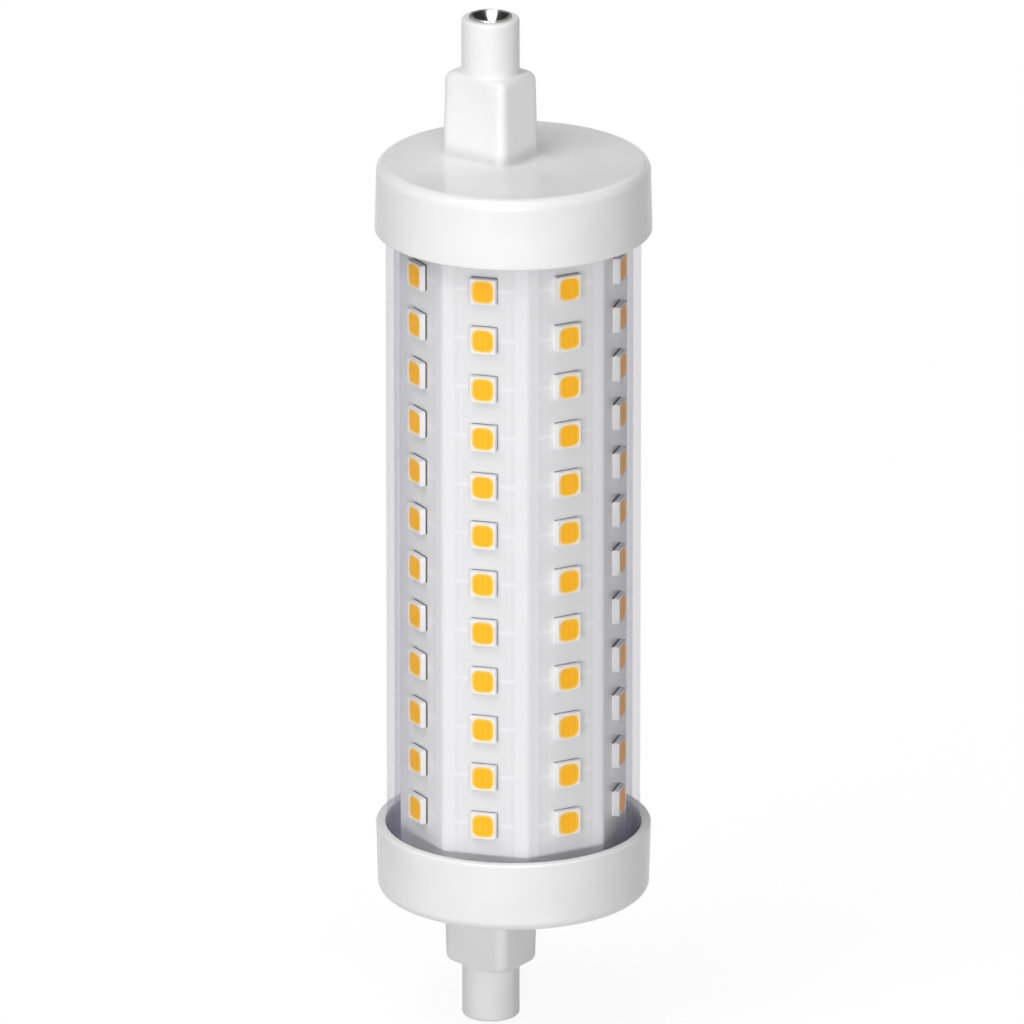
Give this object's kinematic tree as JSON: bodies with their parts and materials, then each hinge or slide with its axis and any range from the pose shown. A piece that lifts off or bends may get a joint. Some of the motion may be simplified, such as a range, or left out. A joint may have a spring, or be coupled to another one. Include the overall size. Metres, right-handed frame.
{
  "type": "linear led bulb",
  "caption": "Slim double-ended LED lamp: a clear tube over a faceted LED board, with white end caps whose off-centre stepped posts carry dished contacts.",
  "frame": {"origin": "on the cover tube's axis, midway between the two contact rims", "axes": "+Z along the lamp towards the upper contact; -X from the tube's axis towards the posts"},
  "size_m": [0.0308, 0.0308, 0.118],
  "materials": {
    "cap_white": "glossy white moulding",
    "contact_metal": "bright nickel plate",
    "cover_clear": "clear, polished",
    "board_white": "white solder mask on a metal core",
    "led_white": "white moulded package",
    "phosphor_yellow": "yellow resin",
    "driver_green": "green solder mask",
    "black_mould": "moulded epoxy",
    "resistor_blue": "lacquered body",
    "film_box": "moulded box",
    "ferrite": "sintered ferrite",
    "copper": "enamelled copper wire",
    "can_metal": "drawn can",
    "chip_ceramic": "thick-film chip",
    "lead_white": "silicone insulation",
    "feed_red": "plastic insulation",
    "feed_black": "plastic insulation"
  },
  "bodies": {
    "root": {"upper_end_cap": "cap_white", "lower_end_cap": "cap_white", "upper_contact": "contact_metal", "lower_contact": "contact_metal", "cover_tube": "cover_clear", "led_board": "board_white", "led_housings_1": "led_white", "led_housings_2": "led_white", "led_housings_3": "led_white", "led_housings_4": "led_white", "led_housings_5": "led_white", "led_housings_6": "led_white", "led_housings_7": "led_white", "led_housings_8": "led_white", "led_phosphors_1": "phosphor_yellow", "led_phosphors_2": "phosphor_yellow", "led_phosphors_3": "phosphor_yellow", "led_phosphors_4": "phosphor_yellow", "led_phosphors_5": "phosphor_yellow", "led_phosphors_6": "phosphor_yellow", "led_phosphors_7": "phosphor_yellow", "led_phosphors_8": "phosphor_yellow", "driver_board": "driver_green", "fusible_resistor": "resistor_blue", "film_capacitor": "film_box", "choke_core": "ferrite", "choke_winding": "copper", "smoothing_capacitor": "can_metal", "bridge_rectifier": "black_mould", "driver_chip": "black_mould", "freewheel_diode": "black_mould", "sense_resistors": "chip_ceramic", "upper_lead_wire": "lead_white", "lower_lead_wire": "lead_white", "positive_feed_wire": "feed_red", "negative_feed_wire": "feed_black"}
  },
  "joints": []
}
